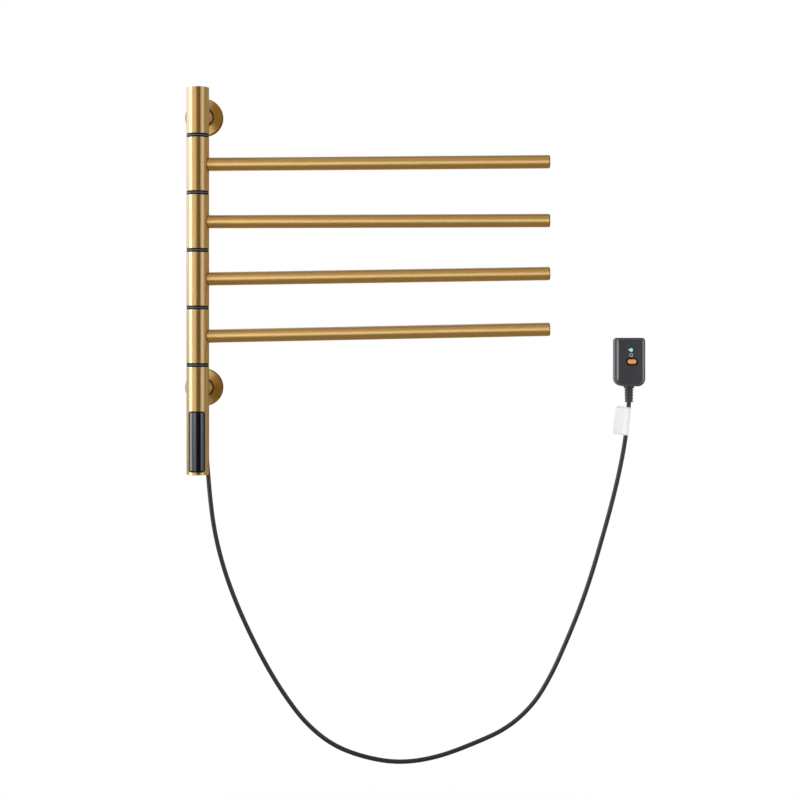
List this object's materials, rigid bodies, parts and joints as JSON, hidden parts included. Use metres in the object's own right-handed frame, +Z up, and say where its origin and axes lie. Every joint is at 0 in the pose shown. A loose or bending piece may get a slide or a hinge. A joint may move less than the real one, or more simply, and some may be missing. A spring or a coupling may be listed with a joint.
{
  "type": "electric towel rack",
  "caption": "Wall-mounted electric towel rack with swivelling heated arms on one post, a touch panel in the post's lower end and a hanging mains lead with a leakage-protection plug.",
  "frame": {"origin": "centre of the upper wall base's back face, on the wall", "axes": "+Y into the wall, +Z up along the post, +X along the arms at rest"},
  "size_m": [0.6664, 0.112, 0.9667],
  "materials": {
    "brushed_gold": "satin brushed gold coating on stainless tube",
    "zinc_casting": "die-cast zinc alloy",
    "bright_steel": "machined stainless steel",
    "black_acetal": "black acetal",
    "grey_washer": "grey filled nylon",
    "black_rubber": "soft black rubber",
    "panel_gloss": "glossy black panel",
    "carrier_white": "moulded nylon",
    "board_green": "solder-masked board",
    "component_black": "moulded components",
    "loom_silicone": "silicone sleeve",
    "heater_sheath": "steel heater sheath",
    "gland_nylon": "black nylon",
    "cord_pvc": "satin black cord jacket",
    "tag_paper": "white paper",
    "plug_front_black": "fine-textured black moulding",
    "plug_rear_black": "fine-textured black moulding",
    "pin_brass": "nickel-washed brass",
    "indicator_grey": "grey moulding",
    "lens_dark": "smoked lens",
    "button_mint": "mint green moulding",
    "button_orange": "orange moulding"
  },
  "bodies": {
    "post": {"top_tube": "brushed_gold", "top_cap": "brushed_gold", "lower_housing": "brushed_gold", "bottom_cap": "brushed_gold", "upper_stem": "brushed_gold", "lower_stem": "brushed_gold", "upper_wall_base": "zinc_casting", "lower_wall_base": "zinc_casting", "top_core": "zinc_casting", "lower_core": "zinc_casting", "spindle": "bright_steel", "core_grub_screws": "bright_steel", "stem_bolts": "bright_steel", "stem_lock_screws": "bright_steel", "plug_screws": "bright_steel", "fixed_bushes": "black_acetal", "thrust_washers": "grey_washer", "panel_gasket": "black_rubber", "cord_gland": "black_rubber", "plug_strain_relief": "black_rubber", "touch_panel": "panel_gloss", "board_carrier": "carrier_white", "control_board": "board_green", "plug_board": "board_green", "board_components": "component_black", "wire_loom": "loom_silicone", "gland_nut": "gland_nylon", "power_cord": "cord_pvc", "cord_tag": "tag_paper", "plug_front_shell": "plug_front_black", "plug_rear_shell": "plug_rear_black", "plug_pins": "pin_brass", "plug_indicator": "indicator_grey", "plug_lens": "lens_dark"},
    "upper_cover": {"upper_cover": "brushed_gold", "upper_cover_ring": "black_rubber"},
    "lower_cover": {"lower_cover": "brushed_gold", "lower_cover_ring": "black_rubber"},
    "test_button": {"test_button": "button_mint"},
    "reset_button": {"reset_button": "button_orange"},
    "arm_1": {"arm_1_sleeve": "brushed_gold", "arm_1_bushes": "black_acetal", "arm_1_bar": "brushed_gold", "arm_1_end_cap": "brushed_gold", "arm_1_heater": "heater_sheath"},
    "arm_2": {"arm_2_sleeve": "brushed_gold", "arm_2_bushes": "black_acetal", "arm_2_bar": "brushed_gold", "arm_2_end_cap": "brushed_gold", "arm_2_heater": "heater_sheath"},
    "arm_3": {"arm_3_sleeve": "brushed_gold", "arm_3_bushes": "black_acetal", "arm_3_bar": "brushed_gold", "arm_3_end_cap": "brushed_gold", "arm_3_heater": "heater_sheath"},
    "arm_4": {"arm_4_sleeve": "brushed_gold", "arm_4_bushes": "black_acetal", "arm_4_bar": "brushed_gold", "arm_4_end_cap": "brushed_gold", "arm_4_heater": "heater_sheath"}
  },
  "joints": [
    {"name": "arm_1_swivel", "type": "hinge", "parent": "post", "child": "arm_1", "pos_m": [0, -0.085, 0], "axis": [0, 0, -1], "range_deg": [0, 180]},
    {"name": "arm_2_swivel", "type": "hinge", "parent": "post", "child": "arm_2", "pos_m": [0, -0.085, 0], "axis": [0, 0, -1], "range_deg": [0, 180]},
    {"name": "arm_3_swivel", "type": "hinge", "parent": "post", "child": "arm_3", "pos_m": [0, -0.085, 0], "axis": [0, 0, -1], "range_deg": [0, 180]},
    {"name": "arm_4_swivel", "type": "hinge", "parent": "post", "child": "arm_4", "pos_m": [0, -0.085, 0], "axis": [0, 0, -1], "range_deg": [0, 180]},
    {"name": "upper_cover_slide", "type": "slide", "parent": "post", "child": "upper_cover", "axis": [0, -1, 0], "range_m": [0, 0.04]},
    {"name": "lower_cover_slide", "type": "slide", "parent": "post", "child": "lower_cover", "axis": [0, -1, 0], "range_m": [0, 0.04]},
    {"name": "test_press", "type": "slide", "parent": "post", "child": "test_button", "axis": [0, 1, 0], "range_m": [0, 0.0015], "stiffness_N_per_m": 600},
    {"name": "reset_press", "type": "slide", "parent": "post", "child": "reset_button", "axis": [0, 1, 0], "range_m": [0, 0.0015], "stiffness_N_per_m": 600}
  ]
}
